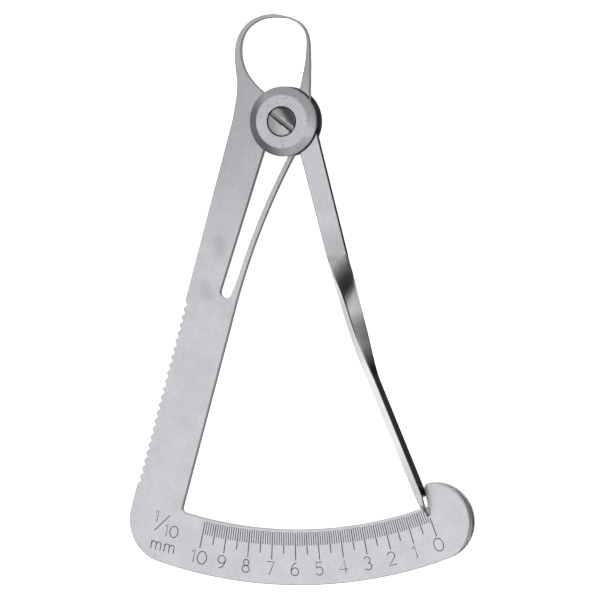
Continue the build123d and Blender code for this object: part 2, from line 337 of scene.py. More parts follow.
def steel(name, colour, wall, roughness, wall_roughness=0.16, grain=0.075,
          streak_angle=0.0, facing_stops=SATIN_FACING, light_above=0.0, pits=0.0,
          tones=None, lean_towards=(1, 0, 0), lean_reach=1.0, tones_off=None,
          rounded_only=False, upper_shade=0.0, clouds_at=(), metallic=1.0):
    """Steel with one finish on the faces that lie flat and another, darker one on the walls,
    whose darkness is painted shade.

    Tones are painted shade and light by its lean towards a direction, over the given reach to
    both sides.
    Between the two heights of tones_off they fade out, and rounded_only keeps them off
    the upright walls.
    """
    material = new_material(name)
    tree = material.node_tree
    link = tree.links.new
    place = add(tree, "ShaderNodeTexCoord")
    where, normal = place.outputs["Object"], place.outputs["Normal"]
    split = add(tree, "ShaderNodeSeparateXYZ")
    link(normal, split.inputs[0])
    spot = add(tree, "ShaderNodeSeparateXYZ")
    link(where, spot.inputs[0])
    flatness = math_node(tree, "ABSOLUTE", split.outputs["Z"])

    # Share of the flat finish
    facing_ramp = ramp(tree, facing_stops)
    link(flatness, facing_ramp.inputs[0])
    facing = facing_ramp.outputs[0]
    if light_above:
        # Walls that look towards the tips get painted light too
        upper = between(tree, split.outputs["Y"], 0.15, 0.7, 0.0, light_above, True)
        facing = math_node(tree, "MAXIMUM", facing, upper)

    # Clouds, grain and fine streaks, which are drawn out along the turned Y axis
    clouds = noise(tree, where, 230.0, 5.0)
    specks = noise(tree, where, 2600.0, 3.0, 0.7)
    turn = add(tree, "ShaderNodeMapping")
    turn.inputs["Rotation"].default_value = (0, 0, streak_angle)
    turn.inputs["Scale"].default_value = (1, 0.03, 1)
    link(where, turn.inputs["Vector"])
    streaks = noise(tree, turn.outputs[0], 3600.0, 2.0)
    shade = product(tree, even_noise(tree, clouds, BLOTCH), even_noise(tree, specks, grain),
                    even_noise(tree, streaks, grain / 2))
    if pits:
        holes = noise(tree, where, 1900.0, 1.0)
        shade = product(tree, shade, between(tree, holes, 0.66, 0.71, 1.0, 1 - pits))

    # Painted shade and light by lean, soft spots, most of them painted shade, and the upper
    # part, darkened as painted shade
    if tones:
        shade = product(tree, shade, lean_shade(
            tree, normal, spot, flatness, tones, lean_towards, lean_reach, tones_off,
            rounded_only))
    for cloud in clouds_at:
        shade = product(tree, shade, cloud_shade(tree, spot, cloud))
    if upper_shade:
        shade = product(tree, shade, between(
            tree, spot.outputs["Y"], -30 * MM, 2 * MM, 1.0, 1 - upper_shade, True))

    tint = add(tree, "ShaderNodeMix", data_type="RGBA")
    tint.inputs["A"].default_value = (*wall, 1)
    tint.inputs["B"].default_value = (*colour, 1)
    link(facing, tint.inputs["Factor"])
    toned = add(tree, "ShaderNodeMix", data_type="RGBA", blend_type="MULTIPLY")
    toned.inputs["Factor"].default_value = 1.0
    link(tint.outputs["Result"], toned.inputs["A"])
    link(shade, toned.inputs["B"])

    level = between(tree, facing, 0.0, 1.0, wall_roughness, roughness)
    rough = math_node(tree, "ADD", level, spread_noise(tree, streaks, -0.05, 0.05))
    bump = add(tree, "ShaderNodeBump", Strength=0.25, Distance=0.02 * MM)
    link(math_node(tree, "ADD", streaks, specks), bump.inputs["Height"])
    shader = add(tree, "ShaderNodeBsdfPrincipled", Metallic=metallic)
    shader.inputs["Specular Tint"].default_value = (0.38, 0.38, 0.38, 1)
    link(toned.outputs["Result"], shader.inputs["Base Color"])
    link(rough, shader.inputs["Roughness"])
    link(bump.outputs[0], shader.inputs["Normal"])
    output = add(tree, "ShaderNodeOutputMaterial")
    link(shader.outputs[0], output.inputs["Surface"])
    return material


def engraving_fill(colour):
    """The dark fill of the engraved lines and numerals."""
    material = new_material("engraving fill")
    tree = material.node_tree
    link = tree.links.new
    place = add(tree, "ShaderNodeTexCoord")
    wear = noise(tree, place.outputs["Object"], 1500.0)
    mixed = add(tree, "ShaderNodeMix", data_type="RGBA", blend_type="MULTIPLY")
    mixed.inputs["Factor"].default_value = 1.0
    mixed.inputs["A"].default_value = (*colour, 1)
    link(spread_noise(tree, wear, 0.75, 1.35), mixed.inputs["B"])
    shader = add(tree, "ShaderNodeBsdfPrincipled", Metallic=0.0, Roughness=0.6)
    link(mixed.outputs["Result"], shader.inputs["Base Color"])
    output = add(tree, "ShaderNodeOutputMaterial")
    link(shader.outputs[0], output.inputs["Surface"])
    return material


# Sizes and colours that a user would change

class CaliperSizes(PropertyGroup):
    """Sizes of the edges, of the graduation and of the numerals."""

    sheet_edge: FloatProperty(
        name="Sheet edge", description="Radius of the rounded edges of the sheets",
        default=0.11 * MM, min=0, precision=5, unit="LENGTH", subtype="DISTANCE")
    turned_edge: FloatProperty(
        name="Turned edge", description="Radius of the edges of the discs and the screw",
        default=0.07 * MM, min=0, precision=5, unit="LENGTH", subtype="DISTANCE")
    tip_radius: FloatProperty(
        name="Tip radius", description="Distance from the pivot to the measuring tips",
        default=17.75 * MM, min=0, precision=5, unit="LENGTH", subtype="DISTANCE")
    zero_angle: FloatProperty(
        name="Zero angle", description="Place of the zero line, from the centre line",
        default=math.radians(20.8), subtype="ANGLE", unit="ROTATION")
    line_start: FloatProperty(
        name="Line start", description="Radius at which the graduation lines begin",
        default=70.85 * MM, min=0, precision=5, unit="LENGTH", subtype="DISTANCE")
    tenth_end: FloatProperty(
        name="Tenth line end", description="Radius at which the lines of a tenth end",
        default=73.45 * MM, min=0, precision=5, unit="LENGTH", subtype="DISTANCE")
    half_end: FloatProperty(
        name="Half line end", description="Radius at which the lines of a half end",
        default=75.05 * MM, min=0, precision=5, unit="LENGTH", subtype="DISTANCE")
    whole_end: FloatProperty(
        name="Whole line end", description="Radius at which the lines of a millimetre end",
        default=76.1 * MM, min=0, precision=5, unit="LENGTH", subtype="DISTANCE")
    line_width: FloatProperty(
        name="Line width", description="Width of the lines of a tenth",
        default=0.16 * MM, min=0, precision=5, unit="LENGTH", subtype="DISTANCE")
    wide_line_width: FloatProperty(
        name="Wide line width", description="Width of the lines of a half and a whole",
        default=0.2 * MM, min=0, precision=5, unit="LENGTH", subtype="DISTANCE")
    line_proud: FloatProperty(
        name="Fill height", description="Height of the fill over the plate's face",
        default=0.006 * MM, min=0, precision=6, unit="LENGTH", subtype="DISTANCE")
    numeral_radius: FloatProperty(
        name="Numeral radius", description="Radius on which the numerals are centred",
        default=77.4 * MM, min=0, precision=5, unit="LENGTH", subtype="DISTANCE")
    numeral_height: FloatProperty(
        name="Numeral height", description="Height of the numerals",
        default=2.25 * MM, min=0, precision=5, unit="LENGTH", subtype="DISTANCE")
    stroke_width: FloatProperty(
        name="Stroke width", description="Width of the numerals' strokes",
        default=0.25 * MM, min=0, precision=5, unit="LENGTH", subtype="DISTANCE")


class CaliperColours(PropertyGroup):
    """Colours of the steel and of the engraving."""

    sheet: FloatVectorProperty(
        name="Sheet", description="Satin faces of the sheet steel",
        default=(0.60, 0.606, 0.63), size=3, min=0, max=1, subtype="COLOR")
    # Near black: a painted dark reflection on the pointer arm's walls
    wall: FloatVectorProperty(
        name="Wall", description="Polished walls of the sheet steel",
        default=(0.05, 0.053, 0.056), size=3, min=0, max=1, subtype="COLOR")
    edge_wall: FloatVectorProperty(
        name="Scale arm wall", description="Ground walls of the scale arm and its leaf",
        default=(0.24, 0.245, 0.255), size=3, min=0, max=1, subtype="COLOR")
    # Near white: a painted highlight on the blade's upper edge
    edge: FloatVectorProperty(
        name="Edge", description="Polished upper edge of the blade",
        default=(0.92, 0.925, 0.94), size=3, min=0, max=1, subtype="COLOR")
    disc: FloatVectorProperty(
        name="Disc", description="Turned faces of the discs",
        default=(0.6, 0.605, 0.63), size=3, min=0, max=1, subtype="COLOR")
    screw: FloatVectorProperty(
        name="Screw", description="The pivot screw and the pin",
        default=(0.42, 0.425, 0.435), size=3, min=0, max=1, subtype="COLOR")
    engraving: FloatVectorProperty(
        name="Engraving", description="Dark fill of the lines and numerals",
        default=(0.06, 0.062, 0.068), size=3, min=0, max=1, subtype="COLOR")
    backdrop: FloatVectorProperty(
        name="Backdrop", description="The pale floor",
        default=(0.9, 0.9, 0.9), size=3, min=0, max=1, subtype="COLOR")


def sizes():
    """The sizes that hold in this scene."""
    return bpy.context.scene.caliper_sizes


def colours():
    """The colours that hold in this scene."""
    return bpy.context.scene.caliper_colours


# Directions in which the streaks of the two sheets run
LEG_STREAKS = math.radians(15.4)
POINTER_STREAKS = math.radians(-15)

# Painted shade on the sheets' rounded edges: those that lean to the left are dark
LEFT_EDGE_SHADE = ((0.0, 0.02), (0.455, 0.02), (0.485, 1.0), (1.0, 1.0))
# Heights between which the leg's left edge is left without this painted shade
LIGHT_EDGE = (-76 * MM, -12 * MM)

# Soft spots: x, y, inner and outer radius in millimetres, and the shade inside
# Darker spots on the leg
LEG_DARK_SPOTS = ((-12.1, -20.8, 0.2, 2.0, 0.88), (-12.1, -22.6, 0.2, 2.0, 0.88),
            (-14.7, -28.1, 0.2, 1.6, 0.9), (-14.3, -30.0, 0.2, 1.8, 0.86))
# Painted shadow in a thin ring on the pointer arm at the front disc's edge
DISC_EDGE_SHADOW = (0, 0, 6.08, 6.3, 0.05)
# Painted shade that darkens the right jaw
RIGHT_JAW_SHADE = (4.6, 10, 4, 8, 0.72)
# Painted shade on the pointer arm and blade where the twist begins
TWIST_START_SHADE = (9.5, -23.5, 1, 7, 0.8)
# Painted shade that dims a highlight at the right corner where the twist begins
TWIST_CORNER_SHADE = (10.6, -23.2, 0.6, 2.2, 0.78)
# A painted dark reflection on the blade in the middle of its twist
MID_TWIST_DARK_REFLECTION = (14.3, -35.6, 0.8, 4.3, 0.42)
# Dims the painted highlight of the blade's upper edge towards the needle
NEEDLE_HIGHLIGHT_FADE = (24.5, -64.5, 1, 12, 0.75)


def scale_material():
    """Satin faces and ground walls, grey as painted shade, of the scale arm and its leaf, with
    painted shade on the left edges and the upper part, painted light on walls that look
    towards the tips, and darker spots on the leg.
    """
    return steel("satin scale steel", colours().sheet, colours().edge_wall, 0.36, 0.3,
                 streak_angle=LEG_STREAKS, light_above=0.95, upper_shade=0.22,
                 tones=LEFT_EDGE_SHADE, lean_towards=(0.8, 0.6, 0), tones_off=LIGHT_EDGE,
                 rounded_only=True, clouds_at=LEG_DARK_SPOTS)


def pointer_material():
    """Satin faces and polished walls, near black as painted dark reflection, of the pointer
    arm above its twist, with painted shade on the left edges and in soft spots.
    """
    return steel("satin pointer steel", colours().sheet, colours().wall, 0.36,
                 streak_angle=POINTER_STREAKS, tones=LEFT_EDGE_SHADE, rounded_only=True,
                 clouds_at=(DISC_EDGE_SHADOW, TWIST_START_SHADE, RIGHT_JAW_SHADE))


# Painted reflections on the lobe's rolled rim, from its flat face outwards: two dark arcs and
# the edge
RIM_REFLECTIONS = ((0.0, 1.0), (0.5, 1.0), (0.6, 0.88), (0.68, 0.5), (0.73, 0.18), (0.78, 0.6),
             (0.83, 0.16), (0.87, 0.42), (0.91, 0.08), (0.94, 0.03), (1.0, 0.03))


def lobe_rim_material():
    """The rolled right rim of the lobe, with dark arcs of painted reflection."""
    return steel("rolled rim steel", colours().sheet, colours().edge_wall, 0.34, 0.3,
                 facing_stops=((0.0, 0.0), (0.2, 1.0)), tones=RIM_REFLECTIONS, rounded_only=True)


def jaw_wall_material():
    """The ground walls of both jaws."""
    return steel("jaw wall steel", (0.4, 0.405, 0.42), (0.27, 0.275, 0.285), 0.3, 0.3)


# Painted dark and light reflections of the blade as it turns on edge, from those that lean
# left to those that lean right
BLADE_REFLECTIONS = ((0.0, 1.0), (0.08, 1.0), (0.15, 0.06), (0.28, 0.1), (0.42, 1.0),
               (0.57, 1.0), (0.63, 0.65), (0.69, 0.36), (0.76, 0.16), (0.81, 0.1),
               (0.868, 0.1), (0.892, 0.3), (0.912, 0.66), (0.935, 0.6), (0.955, 0.5),
               (1.0, 0.45))
# The direction that they follow: across the slanting blade, and in part up along it
BLADE_SLANT = 0.258
BLADE_SHARE_ALONG = 0.6
BLADE_LEAN = (math.cos(BLADE_SLANT) + BLADE_SHARE_ALONG * math.sin(BLADE_SLANT),
              math.sin(BLADE_SLANT) - BLADE_SHARE_ALONG * math.cos(BLADE_SLANT), 0)


def blade_material():
    """Polished steel of the blade, with painted dark and light reflections as it turns, and
    painted shade at its twist.
    """
    return steel("blade steel", colours().sheet, colours().wall, 0.26, 0.2,
                 streak_angle=POINTER_STREAKS,
                 facing_stops=((0.0, 0.0), (0.08, 0.03), (0.25, 0.3), (0.4, 1.0)),
                 tones=BLADE_REFLECTIONS, lean_towards=BLADE_LEAN,
                 clouds_at=(MID_TWIST_DARK_REFLECTION, TWIST_START_SHADE, TWIST_CORNER_SHADE))


def blade_edge_material():
    """The upper edge of the blade, a near white painted highlight that dims towards the
    needle.
    """
    return steel("edge steel with painted highlight", colours().edge, colours().edge, 0.25, 0.25,
                 grain=0.03, metallic=0.3, clouds_at=(NEEDLE_HIGHLIGHT_FADE,))


def disc_material():
    """Turned steel of the front disc, with small pits, and painted shade on its left bevel and
    near black side wall.
    """
    return steel("turned disc steel", colours().disc, (0.012, 0.012, 0.013), 0.42, 0.4,
                 facing_stops=((0.0, 0.0), (0.5, 0.06), (0.75, 0.78), (0.97, 1.0)),
                 pits=0.35, metallic=0.75, lean_reach=0.65, lean_towards=(0.94, 0.34, 0),
                 tones=((0.0, 0.34), (0.14, 0.37), (0.37, 0.95), (0.5, 1.0), (1.0, 0.93)))


def back_disc_material():
    """Steel of the back disc, darkened as painted shade where it lies under the arms."""
    return steel("shaded disc steel", (0.14, 0.143, 0.15), (0.028, 0.03, 0.032), 0.35)


def screw_material():
    """Polished steel of the screw and the pin, with painted reflections, light on its flat top
    and dark where it leans towards the upper right, and near black walls of painted shade.
    """
    return steel("polished screw steel", colours().screw, (0.02, 0.02, 0.021), 0.26, 0.2,
                 grain=0.03, facing_stops=((0.0, 0.0), (0.6, 0.05), (0.85, 0.4), (0.97, 1.0)),
                 lean_reach=0.35, lean_towards=(0.857, 0.515, 0),
                 tones=((0.0, 0.95), (0.3, 1.0), (0.5, 1.1), (0.6, 0.8), (0.7, 0.2),
                        (0.85, 0.16), (1.0, 0.4)))


def slot_material():
    """The floor of the screw's slot, darkened as painted shade."""
    return steel("screw slot steel", (0.26, 0.26, 0.27), (0.01, 0.01, 0.011), 0.35)


def recess_material():
    """The walls of the screw's slot, black as painted shade."""
    return steel("slot wall steel", (0.01, 0.01, 0.011), (0.008, 0.008, 0.009), 0.5, 0.5)


# Operators, one for each piece or group of pieces

class CALIPER_OT_scale_arm(Operator):
    """Dresses the sheet with the left jaw, the leg, the scale plate and the lobe"""

    bl_idname = "caliper.scale_arm"
    bl_label = "Scale arm"

    def execute(self, context):
        piece = welded_copy("scale_arm", "scale_sheet")
        round_edges(piece, free_rims(piece.data, "spring_leaf"), sizes().sheet_edge)
        smooth(piece)
        finish_piece(piece, "scale_body", "sheet_steel", scale_material(), "scale_arm")
        paint_faces(piece, jaw_wall_material(), lambda face: (
            face.center.y > JAWS_START and is_wall(face)))
        paint_faces(piece, lobe_rim_material(), lambda face: (
            face.center.x > LOBE_START and face.normal.x > 0.05))
        return {"FINISHED"}


class CALIPER_OT_spring_leaf(Operator):
    """Dresses the leaf spring that gives way as the tips open"""

    bl_idname = "caliper.spring_leaf"
    bl_label = "Spring leaf"

    def execute(self, context):
        piece = welded_copy("spring_leaf", "leaf")
        round_edges(piece, free_rims(piece.data, "scale_arm"),
                    sizes().sheet_edge * LEAF_EDGE_SHARE)
        smooth(piece)
        finish_piece(piece, "scale_body", "sheet_steel", scale_material(), "spring_leaf")
        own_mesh(piece)
        return {"FINISHED"}


# The path of the pointer's twisted stretch, and how much of the quarter turn is made by
# each share of that path
TWIST_TOP, TWIST_MIDDLE, TWIST_END = (
    Vector((9.306, -22.5)) * MM, Vector((13.6, -37.5)) * MM, Vector((16.029, -44.5)) * MM)
TWIST_TOP_ANGLE, TWIST_END_ANGLE = math.radians(14.8), math.radians(23.0)
TWIST_TURN = ((0.0, 0.0), (0.08, 0.14), (0.16, 0.32), (0.24, 0.48), (0.32, 0.59),
              (0.4, 0.64), (0.5, 0.66), (0.6, 0.71), (0.7, 0.78), (0.8, 0.86),
              (0.9, 0.95), (1.0, 1.0))
TWIST_SECTIONS = 72
# The turn is evened out over so many steps to both sides, and eased at both ends
EVEN_STEPS, EVEN_STEP, EASED_SHARE = 8, 0.008, 0.06

# The blade's section: sides longer than LONG_SIDE are divided at so many points
BLADE_WIDTH = 3.5 * MM
BLADE_THICKNESS = 1.2 * MM
BLADE_MIDDLE = 3.54 * MM
LONG_SIDE = 0.5 * BLADE_THICKNESS
SIDE_CUTS = 7
# Corners closer than these become one: in the whole arm, and then along its open seams
STRIP_WELD, SEAM_WELD = 0.01 * MM, 0.03 * MM

# Where the polished blade begins, and its upper edge with the painted highlight
BLADE_START = TWIST_TOP.y - 0.1 * MM
HIGHLIGHT_START = BLADE_START - 1.5 * MM
HIGHLIGHT_HEIGHT = BLADE_MIDDLE + 0.3 * MM


def heading(angle):
    """The direction at an angle from the way down, towards the right."""
    return Vector((math.sin(angle), -math.cos(angle)))


def hermite(ends, slopes, length, share):
    """A point and the slope of a cubic stretch between two ends."""
    t, (p, q), (m, n) = share, ends, slopes
    point = ((2 * t**3 - 3 * t**2 + 1) * p + (t**3 - 2 * t**2 + t) * length * m
             + (3 * t**2 - 2 * t**3) * q + (t**3 - t**2) * length * n)
    slope = ((6 * t**2 - 6 * t) * (p - q) / length
             + (3 * t**2 - 4 * t + 1) * m + (3 * t**2 - 2 * t) * n)
    return point, slope


def twist_path(share):
    """A point of the twist's centre line and the line's direction there."""
    first, last = heading(TWIST_TOP_ANGLE), heading(TWIST_END_ANGLE)
    a, b = TWIST_MIDDLE - TWIST_TOP, TWIST_END - TWIST_MIDDLE
    i, j = a.length, b.length
    middle = (3 * (a / i**2 + b / j**2) - first / i - last / j) / (2 * (1 / i + 1 / j))
    run = share * (i + j)
    if run < i:
        return hermite((TWIST_TOP, TWIST_MIDDLE), (first, middle), i, run / i)
    return hermite((TWIST_MIDDLE, TWIST_END), (middle, last), j, (run - i) / j)


def turned(share):
    """How far the strip has turned on edge, smoothly from none to a quarter turn."""
    total, weight = 0.0, 0.0
    for step in range(-EVEN_STEPS, EVEN_STEPS + 1):
        at = min(max(share + step * EVEN_STEP, 0.0), 1.0)
        below = max(k for k in range(len(TWIST_TURN) - 1) if TWIST_TURN[k][0] <= at)
        (x, u), (y, v) = TWIST_TURN[below], TWIST_TURN[below + 1]
        part = 1 - abs(step) / (EVEN_STEPS + 1)
        total += part * (u + (v - u) * (at - x) / (y - x))
        weight += part
    even = total / weight
    ease = min(share, 1 - share) / EASED_SHARE
    if ease < 1:
        limit = 0.0 if share < 0.5 else 1.0
        even = limit + (even - limit) * ease * ease * (3 - 2 * ease)
    return even * math.pi / 2


def divide_long(piece, numbers):
    """Divides those edges of these numbers that are long sides of the blade's section."""
    mesh = piece.data
    long_sides = []
    for number in numbers:
        a, b = (mesh.vertices[n].co for n in mesh.edges[number].vertices)
        if (a - b).length > LONG_SIDE:
            long_sides.append(number)
    select_edges(piece, long_sides)
    bpy.ops.mesh.subdivide(number_cuts=SIDE_CUTS)
    bpy.ops.object.mode_set(mode="OBJECT")


def section_model():
    """The outline of the strip's section, with rounded corners, lying at the origin."""
    deselect_all()
    bpy.ops.mesh.primitive_plane_add(size=1)
    outline = bpy.context.object
    outline.data.transform(Matrix.Diagonal((BLADE_WIDTH, BLADE_THICKNESS, 1, 1)))
    bpy.ops.object.mode_set(mode="EDIT")
    bpy.ops.mesh.select_all(action="SELECT")
    bpy.ops.mesh.bevel(offset=sizes().sheet_edge, segments=3, affect="VERTICES")
    bpy.ops.mesh.select_all(action="SELECT")
    bpy.ops.mesh.delete(type="ONLY_FACE")
    bpy.ops.object.mode_set(mode="OBJECT")
    divide_long(outline, range(len(outline.data.edges)))
    return outline


def twist_stretch():
    """The strip from where it lies flat to where it stands on edge."""
    model = section_model()
    rings = []
    for number in range(TWIST_SECTIONS + 1):
        share = number / TWIST_SECTIONS
        point, slope = twist_path(share)
        along = slope.normalized().to_3d()
        turn = turned(share)
        right = Vector((-along.y, along.x, 0))
        wide = right * math.cos(turn) - Vector((0, 0, 1)) * math.sin(turn)
        spot = Vector((point.x, point.y, BLADE_MIDDLE))
        place = Matrix((wide, along.cross(wide), along)).transposed().to_4x4()
        ring = model.copy()
        ring.data = model.data.copy()
        bpy.context.scene.collection.objects.link(ring)
        ring.data.transform(Matrix.Translation(spot) @ place)
        rings.append(ring)
    bpy.data.objects.remove(model)
    pick(rings[0])
    for ring in rings:
        ring.select_set(True)
    bpy.ops.object.join()
    bpy.ops.object.mode_set(mode="EDIT")
    bpy.ops.mesh.select_mode(type="EDGE")
    bpy.ops.mesh.select_all(action="SELECT")
    bpy.ops.mesh.bridge_edge_loops()
    bpy.ops.mesh.select_all(action="SELECT")
    bpy.ops.mesh.normals_make_consistent(inside=False)
    bpy.ops.object.mode_set(mode="OBJECT")
    return bpy.context.object


def join_strip(piece, strip):
    """Closes the gap in a sheet with the strip, point to point along both seams."""
    divide_long(piece, edge_normals(piece.data, faces=1))
    pick(piece)
    strip.select_set(True)
    bpy.ops.object.join()
    bpy.ops.object.mode_set(mode="EDIT")
    bpy.ops.mesh.select_mode(type="VERT")
    bpy.ops.mesh.select_all(action="SELECT")
    bpy.ops.mesh.remove_doubles(threshold=STRIP_WELD)
    bpy.ops.mesh.select_all(action="DESELECT")
    bpy.ops.mesh.select_non_manifold()
    bpy.ops.mesh.remove_doubles(threshold=SEAM_WELD)
    bpy.ops.object.mode_set(mode="OBJECT")


def in_twist(spot):
    """Whether a place lies in the stretch that the new twist takes up."""
    below_top = (spot.to_2d() - TWIST_TOP).dot(heading(TWIST_TOP_ANGLE)) > 0
    above_end = (spot.to_2d() - TWIST_END).dot(heading(TWIST_END_ANGLE)) < 0
    return below_top and above_end


class CALIPER_OT_pointer_arm(Operator):
    """Makes the sheet with the right jaw, the twisted blade and the needle"""

    bl_idname = "caliper.pointer_arm"
    bl_label = "Pointer arm"

    def execute(self, context):
        piece = welded_copy("pointer_arm", "pointer_sheet", in_twist)
        round_edges(piece, sharp_edges(piece.data, 50), sizes().sheet_edge, 3)
        join_strip(piece, twist_stretch())
        smooth(piece)
        finish_piece(piece, "pointer_body", "sheet_steel", pointer_material(), "pointer_arm")
        paint_faces(piece, jaw_wall_material(), lambda face: (
            face.center.y > JAWS_START and is_wall(face)))
        paint_faces(piece, blade_material(), lambda face: face.center.y < BLADE_START)
        paint_faces(piece, blade_edge_material(), lambda face: (
            face.center.y < HIGHLIGHT_START and face.center.z > HIGHLIGHT_HEIGHT
            and face.normal.z > 0.2 and face.normal.x < 0.1))
        return {"FINISHED"}


class CALIPER_OT_pivot(Operator):
    """Dresses the two discs, the slotted screw and the pin"""

    bl_idname = "caliper.pivot"
    bl_label = "Discs, screw and pin"

    def execute(self, context):
        for node, name, body, slot, material in (
                ("front_disc", "front_washer", "scale_body", "disc_steel", disc_material()),
                ("back_disc", "back_washer", "scale_body", "disc_steel", back_disc_material()),
                ("pivot_screw", "screw", "scale_body", "screw_steel", screw_material()),
                ("spring_pin", "pin", "pointer_body", "screw_steel", screw_material())):
            piece = welded_copy(node, name)
            round_edges(piece, sharp_edges(piece.data, 30), sizes().turned_edge)
            smooth(piece)
            finish_piece(piece, body, slot, material, node)
            if node == "pivot_screw":
                # The slot's floor and walls get painted shade
                paint_faces(piece, slot_material(), lambda face: (
                    SLOT_BOTTOM < face.center.z < SLOT_MIDDLE and face.normal.z > 0.8))
                paint_faces(piece, recess_material(), lambda face: (
                    SLOT_BOTTOM < face.center.z < PIVOT_TOP and is_wall(face)
                    and face.center.to_2d().length < INSIDE_SCREW))
        return {"FINISHED"}


# The zero line starts further out than the others
ZERO_LINE_START = 72.4 * MM
# The last reading in millimetres
LAST_READING = 10
# Depth of the fill, from its top down into the plate
FILL_DEPTH = 0.03 * MM
# How far the unit bar's upper face is drawn in and up, which softens its rim
BAR_INSET, BAR_RISE = 0.12, 0.35


def reading_angle(reading):
    """Angle of a reading in millimetres, by the law of the tips' chord."""
    half = reading * MM / 2 / sizes().tip_radius
    return sizes().zero_angle - 2 * math.asin(half)


def radial(angle, radius):
    """The turn and the place of something centred at an angle and a radius."""
    spot = Vector((radius * math.sin(angle), -radius * math.cos(angle), 0))
    return Matrix.Translation(spot) @ Matrix.Rotation(angle, 4, "Z")


def line_model():
    """One graduation line: a bar of unit length and width with a soft upper edge."""
    deselect_all()
    bpy.ops.mesh.primitive_cube_add(size=1)
    bar = bpy.context.object
    bpy.ops.object.mode_set(mode="EDIT")
    bpy.ops.mesh.select_mode(type="FACE")
    bpy.ops.mesh.select_all(action="DESELECT")
    bpy.ops.object.mode_set(mode="OBJECT")
    for face in bar.data.polygons:
        face.select = face.normal.z > 0.9
    bpy.ops.object.mode_set(mode="EDIT")
    bpy.ops.mesh.inset(thickness=BAR_INSET, depth=0)
    bpy.ops.transform.translate(value=(0, 0, BAR_RISE))
    bpy.ops.object.mode_set(mode="OBJECT")
    return bar


class CALIPER_OT_graduation(Operator):
    """Draws the graduation, a line for each tenth of a millimetre"""

    bl_idname = "caliper.graduation"
    bl_label = "Graduation lines"

    def execute(self, context):
        s = sizes()
        model = line_model()
        lift = SCALE_FACE + s.line_proud - (0.5 + BAR_RISE) * FILL_DEPTH
        lines = []
        for tenth in range(10 * LAST_READING + 1):
            start, end, width = s.line_start, s.tenth_end, s.line_width
            if tenth % 5 == 0:
                end, width = s.half_end, s.wide_line_width
            if tenth % 10 == 0:
                end = s.whole_end
            if tenth == 0:
                start = ZERO_LINE_START
            line = model.copy()
            line.data = model.data.copy()
            context.scene.collection.objects.link(line)
            shape = Matrix.Diagonal((width, end - start, FILL_DEPTH, 1))
            turn = radial(reading_angle(tenth / 10), (start + end) / 2)
            line.data.transform(Matrix.Translation((0, 0, lift)) @ turn @ shape)
            lines.append(line)
        bpy.data.objects.remove(model)
        deselect_all()
        for line in lines:
            line.select_set(True)
        context.view_layer.objects.active = lines[0]
        bpy.ops.object.join()
        piece = context.object
        piece.name = "graduation_lines"
        finish_piece(piece, "scale_body", "sheet_steel", engraving_fill(colours().engraving))
        return {"FINISHED"}


def arc(cx, cy, rx, ry, start, end, steps=14):
    """Points of an arc, from one angle to another in degrees."""
    turns = [math.radians(start + (end - start) * i / steps) for i in range(steps + 1)]
    return [(cx + rx * math.cos(t), cy + ry * math.sin(t)) for t in turns]


# Strokes of each sign in a box of unit height, with its middle at the origin, and its width
SIGNS = {
    "0": (0.74, [arc(0, 0, 0.37, 0.5, 90, 450, 36)]),
    "1": (0.3, [[(-0.15, 0.3), (0.06, 0.5), (0.06, -0.5)]]),
    "2": (0.62, [arc(0, 0.21, 0.29, 0.29, 165, -25) + [(-0.3, -0.5), (0.31, -0.5)]]),
    "3": (0.62, [arc(-0.02, 0.245, 0.25, 0.255, 150, -80)
                 + arc(-0.02, -0.235, 0.3, 0.265, 85, -150)]),
    "4": (0.66, [[(0.13, -0.5), (0.13, 0.5), (-0.33, -0.2), (0.33, -0.2)]]),
    "5": (0.6, [[(0.24, 0.5), (-0.2, 0.5), (-0.25, 0.04)]
                + arc(-0.02, -0.18, 0.3, 0.32, 125, -150)]),
    "6": (0.62, [arc(0.22, -0.18, 0.52, 0.68, 98, 180, 10)
                 + arc(0, -0.2, 0.3, 0.3, 180, 540, 30)]),
    "7": (0.62, [[(-0.3, 0.5), (0.3, 0.5), (-0.1, -0.5)]]),
    "8": (0.6, [arc(0, 0.26, 0.22, 0.24, -90, 270, 28),
                arc(0, -0.24, 0.29, 0.26, 90, 450, 30)]),
    "9": (0.62, [arc(-0.22, 0.18, 0.52, 0.68, -82, 0, 10)
                 + arc(0, 0.2, 0.3, 0.3, 0, 360, 30)]),
    "/": (0.7, [[(0.35, 0.5), (-0.35, -0.5)]]),
    "m": (0.9, [[(-0.4, -0.36), (-0.4, 0.3)],
                [(-0.4, 0.05)] + arc(-0.2, 0.1, 0.2, 0.2, 160, 0, 10) + [(0, -0.36)],
                [(0, 0.05)] + arc(0.2, 0.1, 0.2, 0.2, 160, 0, 10) + [(0.4, -0.36)]]),
}


def draw_sign(sign, height, name):
    """A sign as flat strokes of the stroke's width, at the origin."""
    curve = bpy.data.curves.new(name, "CURVE")
    curve.dimensions = "3D"
    curve.bevel_depth = sizes().stroke_width / 2
    curve.bevel_resolution = 1
    curve.use_fill_caps = True
    for points in SIGNS[sign][1]:
        closed = math.dist(points[0], points[-1]) < 1e-6
        spline = curve.splines.new("POLY")
        kept = points[:-1] if closed else points
        spline.points.add(len(kept) - 1)
        for point, (x, y) in zip(spline.points, kept):
            point.co = (x * height, y * height, 0, 1)
        spline.use_cyclic_u = closed
    sign_object = bpy.data.objects.new(name, curve)
    bpy.context.scene.collection.objects.link(sign_object)
    pick(sign_object)
    bpy.ops.object.convert(target="MESH")
    sign_object = bpy.context.object
    flat = FILL_DEPTH / sizes().stroke_width
    sign_object.data.transform(Matrix.Diagonal((1, 1, flat, 1)))
    return sign_object


